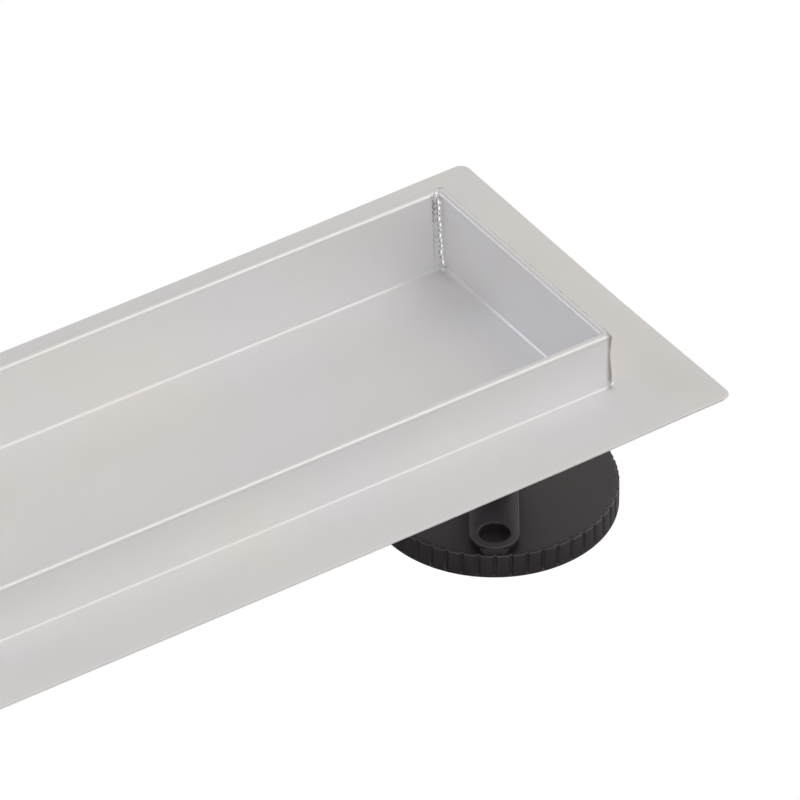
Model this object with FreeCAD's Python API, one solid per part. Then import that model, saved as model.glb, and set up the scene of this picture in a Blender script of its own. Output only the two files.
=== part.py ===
import FreeCAD, Part
import math
import os

V = FreeCAD.Vector
Z_AXIS = V(0, 0, 1)

# Linear shower drain, millimetres, +Z up, X along the drain.
# The origin is on the floor under the drain's middle. The end at +X is the one with the foot in view.

# Channel, folded and welded stainless sheet
LENGTH = 800.0
WIDTH = 150.0
SHEET = 1.5
FLANGE_TOP_Z = 71.7
SIDE_FLANGE = 27.0
END_FLANGE = 27.3
FLANGE_CORNER_R = 4.0
UPSTAND_H = 20.0
RIM_GAP = 0.2
TROUGH_DEPTH = 30.6
FLANGE_BEND_R = 1.0
FLOOR_BEND_R = 1.5
WELD_BEAD_R = 1.5
OUTER_WELD_R = 0.9

# Waste under the middle of the trough
CLAMP_RING_WALL_GAP = 0.3
CLAMP_RING_LAND = 12.5
CLAMP_RING_T = 2.0
FLOOR_HOLE_INSET = 10.0
CLAMP_SCREW_COUNT = 6
CLAMP_SCREW_D = 5.0
CLAMP_SCREW_HEAD_D = 9.6
CLAMP_SCREW_HEAD_H = 1.5
CLAMP_SCREW_LENGTH = 12.0
CLAMP_SCREW_INSET = 6.0
SCREW_DRIVE_AF = 3.0
SCREW_DRIVE_DEPTH = 1.3
UPPER_GASKET_T = 1.0
LOWER_GASKET_T = 2.0
GASKET_INSET = 0.5
STRAINER_T = 1.0
STRAINER_DEPTH = 3.0
STRAINER_RINGS = 3
STRAINER_HOLE_SHARE = 0.55

# Trap, moulded plastic
TRAP_WALL = 3.0
TRAP_FLOOR_GAP = 2.0
TRAP_FLOOR_T = 3.0
TRAP_COVER_T = 3.0
COVER_BOSS_D = 11.0
COVER_BOSS_H = 9.0
COVER_SKIRT_H = 7.0
CUP_WALL = 2.5
CUP_GAP = 10.5
OVERFLOW_GAP = 18.5
CUP_RIM_Z = 36.0
BUSH_D = 7.5
BUSH_LENGTH = 7.0
TRAP_SEAL_D = 2.5
DIP_TUBE_INSET = 5.0
DIP_TUBE_WALL = 2.0
DIP_TUBE_END_Z = 12.0
DIP_HEAD_H = 7.0
DIP_HEAD_FLANGE_T = 2.0
DIP_RING_D = 2.4
DIP_SEAT_W = 4.0
DIP_GRIP_W = 5.0
DIP_GRIP_H = 4.0
SPIGOT_D = 50.0
SPIGOT_WALL = 3.0
SPIGOT_Z = 28.5
SPIGOT_REACH = 45.0
SPIGOT_ANGLE = 152.0
SPIGOT_STOP_H = 3.0
SPIGOT_STOP_T = 4.0
SPIGOT_CHAMFER = 1.5

# Levelling feet
FOOT_D = 81.0
FOOT_H = 8.7
FOOT_INSET = 39.5
FOOT_LOBES = 48
FOOT_GROOVE = 1.0
FOOT_GROOVE_W = 1.6
FOOT_RIM_W = 4.0
FOOT_SKIN = 3.0
FOOT_RIB_COUNT = 12
FOOT_RIB_T = 1.8
LUG_RISE = 3.3
LUG_W = 16.0
LUG_PLATE_T = 1.2
LUG_BOSS_D = 12.6
LUG_WEB_W = 9.6
LUG_WEB_FOOT_W = 6.0
LUG_WEB_BACK = 0.4
LUG_HOLE_D = 10.2
LUG_PCD = 64.0
HUB_D = 17.0
HUB_TOP_Z = 32.0
STUD_D = 10.0
STUD_END_Z = 9.0
STUD_WELD_D = 15.0
STUD_WELD_H = 2.5
STUD_CHAMFER = 1.0
THREAD_CLEARANCE = 0.05
FOOT_BUSH_D = 13.0
FOOT_BUSH_LENGTH = 15.0
WASHER_D = 20.0
WASHER_BORE_D = 10.5
WASHER_T = 2.0
NUT_AF = 17.0
NUT_H = 8.0
FOOT_TURNS = {"right": 236.1, "left": 304.0}

# Clearances between pieces
SEAT_GAP = 0.3
RING_PLAY = 0.3
SEAL_CLEARANCE = 0.05
HOLE_CLEARANCE = 0.5

# Heights and widths worked out from the values above
rim_t = 2 * SHEET + RIM_GAP
rim_top_z = FLANGE_TOP_Z + UPSTAND_H
floor_top_z = rim_top_z - TROUGH_DEPTH
floor_under_z = floor_top_z - SHEET
upstand_y = WIDTH / 2 - SIDE_FLANGE
upstand_x = LENGTH / 2 - END_FLANGE
trough_y = upstand_y - rim_t
trough_x = upstand_x - rim_t
stub_inset = rim_t + FLOOR_BEND_R + SHEET
clamp_ring_d = 2 * (trough_y - FLOOR_BEND_R - CLAMP_RING_WALL_GAP)
clamp_ring_bore_d = clamp_ring_d - 2 * CLAMP_RING_LAND
clamp_screw_pcd = clamp_ring_d - 2 * CLAMP_SCREW_INSET
screw_hole_d = CLAMP_SCREW_D + HOLE_CLEARANCE
floor_hole_d = clamp_ring_d - 2 * FLOOR_HOLE_INSET
gasket_d = clamp_ring_d - 2 * GASKET_INSET
dip_collar_d = clamp_ring_bore_d
dip_tube_d = dip_collar_d - 2 * DIP_TUBE_INSET
cup_d = dip_tube_d + 2 * (CUP_GAP + CUP_WALL)
trap_d = cup_d + 2 * (OVERFLOW_GAP + TRAP_WALL)
trap_r = trap_d / 2
foot_x = LENGTH / 2 - FOOT_INSET
thread_bore = STUD_D + 2 * THREAD_CLEARANCE
cover_top_z = floor_under_z - LOWER_GASKET_T
cover_under_z = cover_top_z - TRAP_COVER_T
ring_under_z = floor_top_z + UPPER_GASKET_T
ring_top_z = ring_under_z + CLAMP_RING_T
dip_seat_r = dip_collar_d / 2 - DIP_SEAT_W
strainer_r = clamp_ring_bore_d / 2 - SEAT_GAP
strainer_pitch = (strainer_r - STRAINER_T) / (STRAINER_RINGS + 1)


def save(name, shape):
    shape.exportStep("parts/" + name + ".step")
    print(name, "solids", len(shape.Solids), "valid", shape.isValid(), "volume", round(shape.Volume, 1))


def outline_face(points):
    """Flat face inside straight lines through (radius or width, height) points in the XZ plane."""
    corners = [V(x, 0, z) for x, z in points]
    return Part.Face(Part.makePolygon(corners + corners[:1]))


def turned(points, angle=360.0):
    """Solid turned about Z from (radius, height) points."""
    return outline_face(points).revolve(V(0, 0, 0), Z_AXIS, angle)


def cylinder(diameter, height, x=0.0, y=0.0, z=0.0):
    return Part.makeCylinder(diameter / 2, height, V(x, y, z))


def along_x(diameter, start, end, z):
    return Part.makeCylinder(diameter / 2, end - start, V(start, 0, z), V(1, 0, 0))


def tube(diameter, bore, height, z=0.0):
    return cylinder(diameter, height, z=z).cut(cylinder(bore, height, z=z))


def around(count, diameter, first_angle=0.0):
    """Places (x, y) evenly round a circle."""
    places = []
    for i in range(count):
        angle = math.radians(first_angle + 360.0 * i / count)
        places.append((diameter / 2 * math.cos(angle), diameter / 2 * math.sin(angle)))
    return places


def hexagon(across_flats, height, z=0.0):
    corners = [V(x, y, z) for x, y in around(6, across_flats / math.cos(math.pi / 6))]
    return Part.Face(Part.makePolygon(corners + corners[:1])).extrude(V(0, 0, height))


def arc(centre, radius, start, end):
    """Arc edge in the sheet's section, from one angle in degrees to another, y outwards and z up."""
    points = []
    for degrees in (start, (start + end) / 2, end):
        angle = math.radians(degrees)
        points.append(V(0, centre[0] + radius * math.cos(angle), centre[1] + radius * math.sin(angle)))
    return Part.Arc(*points).toShape()


def closed_section(steps):
    """Face in the YZ plane through points and arcs, with straight runs between them."""
    edges = []
    for step, following in zip(steps, steps[1:] + steps[:1]):
        start = step
        if not isinstance(step, V):
            edges.append(step)
            start = step.Vertexes[-1].Point
        end = following
        if not isinstance(following, V):
            end = following.Vertexes[0].Point
        if start.distanceToPoint(end) > 1e-6:
            edges.append(Part.makeLine(start, end))
    return Part.Face(Part.Wire(edges))


def plan_prism(corners, bottom, top):
    points = [V(x, y, bottom) for x, y in corners]
    return Part.Face(Part.makePolygon(points + points[:1])).extrude(V(0, 0, top - bottom))


def folded_side(wall_y, half_run, flange):
    """One side of the channel, at +Y: flange, outer leg, folded rim, inner leg and the bend into the floor.
    Its two ends are mitred where it meets the sides at half_run."""
    flange_bend = (wall_y + FLANGE_BEND_R, FLANGE_TOP_Z + FLANGE_BEND_R)
    rim_centre = (wall_y - rim_t / 2, rim_top_z - rim_t / 2)
    floor_bend = (wall_y - rim_t - FLOOR_BEND_R, floor_top_z + FLOOR_BEND_R)
    stub_y = wall_y - stub_inset
    flange_y = wall_y + flange
    section = closed_section([
        V(0, flange_y, FLANGE_TOP_Z),
        arc(flange_bend, FLANGE_BEND_R, 270, 180),
        arc(rim_centre, rim_t / 2, 0, 180),
        arc(floor_bend, FLOOR_BEND_R, 0, -90),
        V(0, stub_y, floor_top_z),
        V(0, stub_y, floor_under_z),
        arc(floor_bend, FLOOR_BEND_R + SHEET, -90, 0),
        arc(rim_centre, RIM_GAP / 2, 180, 0),
        arc(flange_bend, FLANGE_BEND_R + SHEET, 180, 270),
        V(0, flange_y, FLANGE_TOP_Z - SHEET),
    ])
    reach = half_run + flange
    side = section.extrude(V(2 * reach, 0, 0))
    side.translate(V(-reach, 0, 0))
    inside = half_run - stub_inset
    mitre = [(-reach, flange_y), (-inside, stub_y), (inside, stub_y), (reach, flange_y)]
    return side.common(plan_prism(mitre, floor_under_z - 1, rim_top_z + 1))


def corner_places(x, y):
    return [(sx * x, sy * y, sx, sy) for sx in (1, -1) for sy in (1, -1)]


def rounded_plate(length, width, radius, bottom, top):
    plate = Part.makeBox(length, width, top - bottom, V(-length / 2, -width / 2, bottom))
    upright = [edge for edge in plate.Edges if abs(edge.tangentAt(edge.FirstParameter).z) > 0.9]
    return plate.makeFillet(radius, upright)


def waste_screw_places():
    return around(CLAMP_SCREW_COUNT, clamp_screw_pcd, 90.0 / CLAMP_SCREW_COUNT)


def drilled(shape, places, diameter, bottom, top):
    for x, y in places:
        shape = shape.cut(cylinder(diameter, top - bottom, x, y, bottom))
    return shape


def channel():
    """Trough, upstand and flange: four folded sides welded at their mitres to one another and to the floor."""
    long_side = folded_side(upstand_y, upstand_x, SIDE_FLANGE)
    short_side = folded_side(upstand_x, upstand_y, END_FLANGE)
    body = Part.makeBox(2 * (upstand_x - stub_inset), 2 * (upstand_y - stub_inset), SHEET,
                        V(stub_inset - upstand_x, stub_inset - upstand_y, floor_under_z))
    sides = []
    for side, angle in ((long_side, 0), (short_side, 90), (long_side, 180), (short_side, 270)):
        turned_side = side.copy()
        turned_side.rotate(V(0, 0, 0), Z_AXIS, angle)
        sides.append(turned_side)
    body = body.fuse(sides)
    body = body.common(rounded_plate(LENGTH, WIDTH, FLANGE_CORNER_R, floor_under_z, rim_top_z))
    for x, y, sx, sy in corner_places(upstand_x - OUTER_WELD_R, upstand_y - OUTER_WELD_R):
        size = OUTER_WELD_R + 1
        low = V(min(x, x + sx * size), min(y, y + sy * size), FLANGE_TOP_Z + FLANGE_BEND_R)
        corner = Part.makeBox(size, size, UPSTAND_H, low)
        keep = Part.makeCylinder(OUTER_WELD_R, UPSTAND_H, V(x, y, low.z))
        body = body.cut(corner.cut(keep))
    for x, y, sx, sy in corner_places(trough_x, trough_y):
        bead_h = rim_top_z - rim_t / 2 - floor_top_z
        body = body.fuse(Part.makeCylinder(WELD_BEAD_R, bead_h, V(x, y, floor_top_z)))
    body = body.cut(cylinder(floor_hole_d, 3 * SHEET, z=floor_under_z - SHEET))
    body = drilled(body, waste_screw_places(), screw_hole_d, floor_under_z - SHEET, floor_top_z + SHEET)
    return body.removeSplitter()


def gasket(thickness, bottom):
    ring = tube(gasket_d, floor_hole_d, thickness, bottom)
    return drilled(ring, waste_screw_places(), screw_hole_d, bottom - 1, bottom + thickness + 1)


def clamp_ring():
    """Pressed ring with countersunk holes, and a rounded top edge round its outside."""
    ring = tube(clamp_ring_d, clamp_ring_bore_d, CLAMP_RING_T, ring_under_z)
    for x, y in waste_screw_places():
        ring = ring.cut(screw_at(x, y, HOLE_CLEARANCE / 2, 1.0))
    rim = [edge for edge in ring.Edges if abs(edge.Length - math.pi * clamp_ring_d) < 0.01
           and edge.BoundBox.ZMin > ring_top_z - 0.01]
    return ring.makeFillet(CLAMP_RING_T / 3, rim)


def screw_at(x, y, growth=0.0, above=0.0):
    """Countersunk screw with its head flush with the ring, or with growth the hole that it goes through."""
    shank_r = CLAMP_SCREW_D / 2 + growth
    head_r = CLAMP_SCREW_HEAD_D / 2 + growth
    land = CLAMP_SCREW_HEAD_H - (CLAMP_SCREW_HEAD_D - CLAMP_SCREW_D) / 2 / math.tan(math.radians(60))
    profile = [(0, ring_top_z + above), (head_r, ring_top_z + above), (head_r, ring_top_z - land),
               (shank_r, ring_top_z - CLAMP_SCREW_HEAD_H), (shank_r, ring_top_z - CLAMP_SCREW_LENGTH),
               (0, ring_top_z - CLAMP_SCREW_LENGTH)]
    screw = turned(profile)
    screw.translate(V(x, y, 0))
    return screw


def clamp_screws():
    screws = []
    for x, y in waste_screw_places():
        drive = hexagon(SCREW_DRIVE_AF, SCREW_DRIVE_DEPTH, ring_top_z - SCREW_DRIVE_DEPTH)
        drive.translate(V(x, y, 0))
        screws.append(screw_at(x, y).cut(drive))
    return Part.makeCompound(screws)


def trap_cover():
    """Moulded top of the trap: a plate with a collar for the dip tube, screw bosses, ribs and a skirt."""
    collar_r = dip_collar_d / 2
    skirt_r = trap_r - TRAP_WALL - SEAT_GAP
    skirt_z = cover_under_z - COVER_SKIRT_H
    collar_z = cover_top_z - DIP_HEAD_H - TRAP_COVER_T
    cover = turned([(collar_r, cover_top_z), (trap_r, cover_top_z), (trap_r, cover_under_z),
                    (skirt_r, cover_under_z), (skirt_r, skirt_z), (skirt_r - TRAP_WALL, skirt_z),
                    (skirt_r - TRAP_WALL, cover_under_z), (collar_r + TRAP_WALL, cover_under_z),
                    (collar_r + TRAP_WALL, collar_z), (dip_seat_r, collar_z),
                    (dip_seat_r, collar_z + TRAP_COVER_T), (collar_r, collar_z + TRAP_COVER_T)])
    boss_z = cover_top_z - COVER_BOSS_H
    for x, y in waste_screw_places():
        cover = cover.fuse(cylinder(COVER_BOSS_D, COVER_BOSS_H, x, y, boss_z))
    cover = drilled(cover, waste_screw_places(), BUSH_D, cover_top_z - BUSH_LENGTH, cover_top_z + 1)
    groove = tube(trap_d, 2 * skirt_r - TRAP_SEAL_D, TRAP_SEAL_D, skirt_z + TRAP_SEAL_D)
    return cover.cut(groove)


def boss_bushes():
    bushes = []
    for x, y in waste_screw_places():
        bush = cylinder(BUSH_D, BUSH_LENGTH, x, y, cover_top_z - BUSH_LENGTH)
        bushes.append(bush.cut(cylinder(CLAMP_SCREW_D, BUSH_LENGTH, x, y, cover_top_z - BUSH_LENGTH)))
    return Part.makeCompound(bushes)


def trap_seal():
    """Rubber ring in the groove of the cover's skirt, flattened to the groove."""
    inner_r = trap_r - TRAP_WALL - SEAT_GAP - TRAP_SEAL_D / 2
    outer_r = trap_r - TRAP_WALL - SEAL_CLEARANCE
    bottom = cover_under_z - COVER_SKIRT_H + TRAP_SEAL_D
    return tube(2 * outer_r, 2 * inner_r, TRAP_SEAL_D, bottom)


def trap_base():
    """Moulded pot with the inner cup whose rim is the weir, and the outlet spigot with its stop.
    The pot is turned so that a straight pipe on the spigot runs past the left foot."""
    inner_r = trap_r - TRAP_WALL
    floor_z = TRAP_FLOOR_GAP + TRAP_FLOOR_T
    cup_r = cup_d / 2
    pot = turned([(0, TRAP_FLOOR_GAP), (inner_r, TRAP_FLOOR_GAP), (trap_r, TRAP_FLOOR_GAP + TRAP_WALL),
                  (trap_r, cover_under_z), (inner_r, cover_under_z), (inner_r, floor_z), (cup_r, floor_z),
                  (cup_r, CUP_RIM_Z), (cup_r - CUP_WALL, CUP_RIM_Z), (cup_r - CUP_WALL, floor_z), (0, floor_z)])
    start = cup_r + 1
    end = trap_r + SPIGOT_REACH
    stop_end = trap_r + SPIGOT_STOP_T
    spigot = along_x(SPIGOT_D, start, end, SPIGOT_Z)
    tip = [edge for edge in spigot.Edges if edge.BoundBox.XMin > end - 0.01]
    spigot = spigot.makeChamfer(SPIGOT_CHAMFER, tip)
    stop = along_x(SPIGOT_D + 2 * SPIGOT_STOP_H, start, stop_end, SPIGOT_Z)
    pot_height = cover_under_z - TRAP_FLOOR_GAP
    stop = stop.common(Part.makeBox(stop_end, trap_d, pot_height, V(0, -trap_r, TRAP_FLOOR_GAP)))
    outlet = spigot.fuse(stop).cut(cylinder(2 * inner_r, cover_under_z))
    bore = along_x(SPIGOT_D - 2 * SPIGOT_WALL, start, end, SPIGOT_Z)
    body = pot.fuse(outlet).cut(bore).removeSplitter()
    body.rotate(V(0, 0, 0), Z_AXIS, SPIGOT_ANGLE)
    return body


def dip_tube():
    """Tube that dips into the cup, with a sealing head that rests on the collar's ledge, and a lifting bar."""
    tube_r = dip_tube_d / 2
    bore_r = tube_r - DIP_TUBE_WALL
    head_r = dip_collar_d / 2 - RING_PLAY
    head_z = cover_top_z - DIP_HEAD_H
    ledge_z = head_z + DIP_HEAD_FLANGE_T
    lip_r = head_r - DIP_HEAD_FLANGE_T
    body = turned([(bore_r, DIP_TUBE_END_Z), (tube_r, DIP_TUBE_END_Z), (tube_r, head_z), (head_r, head_z),
                   (head_r, cover_top_z), (lip_r, cover_top_z), (lip_r, ledge_z), (bore_r, ledge_z)])
    groove = tube(dip_collar_d, 2 * head_r - DIP_HEAD_FLANGE_T, DIP_RING_D, ledge_z)
    bar = Part.makeBox(2 * tube_r, DIP_GRIP_W, DIP_GRIP_H, V(-tube_r, -DIP_GRIP_W / 2, head_z))
    bar = bar.common(cylinder(2 * tube_r, DIP_GRIP_H, z=head_z))
    return body.cut(groove).fuse(bar).removeSplitter()


def dip_tube_ring():
    outer_r = dip_collar_d / 2
    inner_r = outer_r - RING_PLAY - DIP_HEAD_FLANGE_T / 2
    return tube(2 * outer_r, 2 * inner_r, DIP_RING_D, cover_top_z - DIP_HEAD_H + DIP_HEAD_FLANGE_T)


def hair_strainer():
    """Pressed dish whose brim rests on the clamp ring, with rings of round holes in its floor."""
    brim_r = clamp_ring_bore_d / 2 + STRAINER_T
    inner_r = strainer_r - STRAINER_T
    top = ring_top_z + STRAINER_T
    low = top - STRAINER_DEPTH
    floor_z = low + STRAINER_T
    dish = turned([(0, low), (strainer_r, low), (strainer_r, ring_top_z), (brim_r, ring_top_z), (brim_r, top),
                   (inner_r, top), (inner_r, floor_z), (0, floor_z)])
    hole_d = strainer_pitch * STRAINER_HOLE_SHARE
    holes = [cylinder(hole_d, 3 * STRAINER_T, z=low - STRAINER_T)]
    for ring in range(1, STRAINER_RINGS + 1):
        for x, y in around(6 * ring, 2 * ring * strainer_pitch):
            holes.append(cylinder(hole_d, 3 * STRAINER_T, x, y, low - STRAINER_T))
    return dish.cut(holes)


def stud(x):
    """Threaded stud, drawn at its thread's outside, with the weld round its root."""
    stud_r = STUD_D / 2
    rod = turned([(0, STUD_END_Z), (stud_r - STUD_CHAMFER, STUD_END_Z), (stud_r, STUD_END_Z + STUD_CHAMFER),
                  (stud_r, floor_under_z - STUD_WELD_H), (STUD_WELD_D / 2, floor_under_z), (0, floor_under_z)])
    rod.translate(V(x, 0, 0))
    return rod


def lobed_outline(z):
    """Round outline of the foot: wide crowns on the rim with a narrow round groove between each two."""
    rim_r = FOOT_D / 2
    pitch = 2 * math.pi / FOOT_LOBES
    half_groove = FOOT_GROOVE_W / FOOT_D
    edges = []
    for i in range(FOOT_LOBES):
        start = i * pitch
        end = start + pitch
        turns = [(start + half_groove, rim_r), (start + pitch / 2, rim_r), (end - half_groove, rim_r),
                 (end, rim_r - FOOT_GROOVE), (end + half_groove, rim_r)]
        points = [V(r * math.cos(a), r * math.sin(a), z) for a, r in turns]
        edges.append(Part.Arc(points[0], points[1], points[2]).toShape())
        edges.append(Part.Arc(points[2], points[3], points[4]).toShape())
    return Part.Face(Part.Wire(edges))


def lug():
    """Screw lug along +X: a bar from the hub, and a plate with a round end on a boss and a tapered web."""
    hole_x = LUG_PCD / 2
    top = FOOT_H + LUG_RISE
    bar = Part.makeBox(hole_x, LUG_W, LUG_RISE, V(0, -LUG_W / 2, FOOT_H))
    plate = cylinder(LUG_W, LUG_PLATE_T, hole_x, 0, top - LUG_PLATE_T)
    boss = cylinder(LUG_BOSS_D, LUG_RISE, hole_x, 0, FOOT_H)
    half_top = LUG_WEB_W / 2
    half_low = LUG_WEB_FOOT_W / 2
    corners = [V(0, -half_low, FOOT_H), V(0, half_low, FOOT_H), V(0, half_top, top), V(0, -half_top, top)]
    web_reach = hole_x + LUG_W / 2 - LUG_WEB_BACK
    web = Part.Face(Part.makePolygon(corners + corners[:1])).extrude(V(web_reach, 0, 0))
    undercut = cylinder(LUG_W + 2, LUG_RISE - LUG_PLATE_T, hole_x, 0, FOOT_H)
    return bar.cut(undercut).fuse([plate, boss, web, bar.common(boss)])


def foot(x, angle):
    """Moulded foot: lobed disc, hub for the stud and two screw lugs, hollow below between its ribs."""
    disc = lobed_outline(0).extrude(V(0, 0, FOOT_H))
    hollow = tube(FOOT_D - 2 * FOOT_RIM_W, HUB_D + 2 * FOOT_RIM_W, FOOT_H - FOOT_SKIN)
    for i in range(FOOT_RIB_COUNT):
        rib = Part.makeBox(FOOT_D / 2, FOOT_RIB_T, FOOT_H, V(0, -FOOT_RIB_T / 2, 0))
        rib.rotate(V(0, 0, 0), Z_AXIS, (i + 0.5) * 360.0 / FOOT_RIB_COUNT)
        hollow = hollow.cut(rib)
    for lug_x, lug_y in around(2, LUG_PCD):
        hollow = hollow.cut(cylinder(LUG_W, FOOT_H, lug_x, lug_y))
    body = disc.cut(hollow)
    one_lug = lug()
    other_lug = one_lug.copy()
    other_lug.rotate(V(0, 0, 0), Z_AXIS, 180)
    body = body.fuse([one_lug, other_lug, cylinder(HUB_D, HUB_TOP_Z)])
    body = drilled(body, around(2, LUG_PCD), LUG_HOLE_D, -1, FOOT_H + LUG_RISE + 1)
    body = body.cut(cylinder(STUD_D + 2 * SEAT_GAP, HUB_TOP_Z, z=-1))
    body = body.cut(cylinder(FOOT_BUSH_D, FOOT_BUSH_LENGTH, z=HUB_TOP_Z - FOOT_BUSH_LENGTH))
    body = body.removeSplitter()
    body.rotate(V(0, 0, 0), Z_AXIS, angle)
    body.translate(V(x, 0, 0))
    return body


def ring_on_stud(diameter, bore, height, bottom, x):
    ring = tube(diameter, bore, height, bottom)
    ring.translate(V(x, 0, 0))
    return ring


def lock_nut(x):
    """Hexagon nut with its corners turned down on both faces."""
    bottom = HUB_TOP_Z + WASHER_T
    nut = hexagon(NUT_AF, NUT_H, bottom)
    corner_r = NUT_AF / math.sqrt(3)
    flat_r = NUT_AF / 2
    drop = (corner_r - flat_r) * math.tan(math.radians(30))
    top = bottom + NUT_H
    nut = nut.common(turned([(0, bottom), (flat_r, bottom), (corner_r, bottom + drop), (corner_r, top - drop),
                             (flat_r, top), (0, top)]))
    nut = nut.cut(cylinder(thread_bore, NUT_H, z=bottom))
    nut.translate(V(x, 0, 0))
    return nut


os.makedirs("parts", exist_ok=True)
save("channel", channel())
save("clamp_ring", clamp_ring())
save("clamp_screws", clamp_screws())
save("upper_gasket", gasket(UPPER_GASKET_T, floor_top_z))
save("lower_gasket", gasket(LOWER_GASKET_T, cover_top_z))
save("trap_cover", trap_cover())
save("boss_bushes", boss_bushes())
save("trap_seal", trap_seal())
save("trap_base", trap_base())
save("dip_tube", dip_tube())
save("dip_tube_ring", dip_tube_ring())
save("hair_strainer", hair_strainer())
for side, place in (("right", foot_x), ("left", -foot_x)):
    save("stud_" + side, stud(place))
    save("foot_" + side, foot(place, FOOT_TURNS[side]))
    save("foot_bush_" + side, ring_on_stud(FOOT_BUSH_D, thread_bore, FOOT_BUSH_LENGTH,
                                           HUB_TOP_Z - FOOT_BUSH_LENGTH, place))
    save("washer_" + side, ring_on_stud(WASHER_D, WASHER_BORE_D, WASHER_T, HUB_TOP_Z, place))
    save("lock_nut_" + side, lock_nut(place))
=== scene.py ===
import math

import bmesh
import bpy
from mathutils import Matrix, Vector


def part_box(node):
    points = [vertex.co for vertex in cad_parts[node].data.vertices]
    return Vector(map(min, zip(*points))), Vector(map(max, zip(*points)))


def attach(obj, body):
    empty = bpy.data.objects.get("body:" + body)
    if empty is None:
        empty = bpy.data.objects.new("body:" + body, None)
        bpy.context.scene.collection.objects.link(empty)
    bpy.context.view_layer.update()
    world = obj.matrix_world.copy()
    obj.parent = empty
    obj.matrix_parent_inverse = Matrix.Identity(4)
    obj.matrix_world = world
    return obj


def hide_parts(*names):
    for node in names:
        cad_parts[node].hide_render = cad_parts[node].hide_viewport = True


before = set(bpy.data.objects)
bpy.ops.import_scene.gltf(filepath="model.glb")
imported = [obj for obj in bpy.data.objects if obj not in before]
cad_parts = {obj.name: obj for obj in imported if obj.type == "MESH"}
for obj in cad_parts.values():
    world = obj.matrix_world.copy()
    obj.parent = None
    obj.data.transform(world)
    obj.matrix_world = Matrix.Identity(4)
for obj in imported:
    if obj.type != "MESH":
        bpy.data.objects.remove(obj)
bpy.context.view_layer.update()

# Camera and studio.
# A long lens from the front left, as the photograph was taken, over a white table lit by large soft boxes. The white
# that the camera sees is a bright sheet of its own, so the table itself lights the drain no more than paper would.
CAMERA_AZIMUTH = math.radians(-33.95)
CAMERA_ELEVATION = math.radians(37.61)
CAMERA_ROLL = math.radians(-0.16)
CAMERA_DISTANCE = 3.2127
CAMERA_AIM_FROM_END = Vector((-0.06263, -0.03829))
CAMERA_AIM_HEIGHT = 0.0717
CAMERA_LENS = 452.9
TABLE_SIZE = 60.0
DARK_SIDE = "7e7f86"
LIT_SIDE = "e2dfdb"


def linear(hex_colour, alpha=1.0):
    """Linear RGBA from an sRGB hex colour such as "c8c8c8"."""
    channels = []
    for start in (0, 2, 4):
        value = int(hex_colour[start:start + 2], 16) / 255
        channels.append(value / 12.92 if value <= 0.04045 else ((value + 0.055) / 1.055) ** 2.4)
    return (*channels, alpha)


def add_node(material, kind, settings=(), links=()):
    """Adds a shader node with its settings, by attribute or input, and its links, input to output socket."""
    node = material.node_tree.nodes.new(kind)
    sockets = {}
    for name, value in dict(settings).items():
        if isinstance(name, str) and name not in node.inputs:
            setattr(node, name, value)
        else:
            sockets[name] = value
    for name, value in sockets.items():
        node.inputs[name].default_value = value
    for name, socket in dict(links).items():
        material.node_tree.links.new(socket, node.inputs[name])
    return node


def new_material(name):
    material = bpy.data.materials.new(name)
    material.use_nodes = True
    material.node_tree.nodes.clear()
    return material


def place_object(name, mesh_maker, material, sharp_angle=35):
    """Object at the origin from a bmesh, its place in its mesh, smooth except over edges sharper than the angle."""
    mesh = bpy.data.meshes.new(name)
    mesh_maker.to_mesh(mesh)
    mesh_maker.free()
    placed = bpy.data.objects.new(name, mesh)
    bpy.context.scene.collection.objects.link(placed)
    mesh.materials.append(material)
    mesh.shade_smooth()
    mesh.set_sharp_from_angle(angle=math.radians(sharp_angle))
    return placed


back = Vector((math.sin(CAMERA_AZIMUTH) * math.cos(CAMERA_ELEVATION),
               -math.cos(CAMERA_AZIMUTH) * math.cos(CAMERA_ELEVATION), math.sin(CAMERA_ELEVATION)))
right = Vector((math.cos(CAMERA_AZIMUTH), math.sin(CAMERA_AZIMUTH), 0))
turned = Matrix.Rotation(CAMERA_ROLL, 3, back)
right = turned @ right
up = back.cross(right)
flange_end = Vector((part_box("channel")[1].x, 0, CAMERA_AIM_HEIGHT))
camera_data = bpy.data.cameras.new("camera")
camera_data.lens = CAMERA_LENS
camera_data.clip_end = 100
camera = bpy.data.objects.new("camera", camera_data)
place = flange_end + right * CAMERA_AIM_FROM_END.x + up * CAMERA_AIM_FROM_END.y + back * CAMERA_DISTANCE
camera.matrix_world = Matrix.Translation(place) @ Matrix((right, up, back)).transposed().to_4x4()
bpy.context.scene.collection.objects.link(camera)
bpy.context.scene.camera = camera
bpy.context.scene.view_settings.view_transform = "Standard"

table_paint = new_material("white_table_paint")
table_matt = add_node(table_paint, "ShaderNodeBsdfDiffuse", {"Color": linear("d8d8d8")})
add_node(table_paint, "ShaderNodeOutputMaterial", links={"Surface": table_matt.outputs[0]})
table_mesh = bmesh.new()
bmesh.ops.create_grid(table_mesh, x_segments=1, y_segments=1, size=TABLE_SIZE / 2)
table_top = place_object("table_top", table_mesh, table_paint)
table_top.visible_camera = False

sheet_glow = new_material("white_backing_sheet")
sheet_light = add_node(sheet_glow, "ShaderNodeEmission", {"Color": linear("ffffff"), "Strength": 1.0})
add_node(sheet_glow, "ShaderNodeOutputMaterial", links={"Surface": sheet_light.outputs[0]})
backing_mesh = bmesh.new()
bmesh.ops.create_grid(backing_mesh, x_segments=1, y_segments=1, size=TABLE_SIZE / 2)
backing = place_object("backing_sheet", backing_mesh, sheet_glow)
backing.visible_diffuse = False
backing.visible_glossy = False
backing.visible_transmission = False
backing.visible_shadow = False

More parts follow.
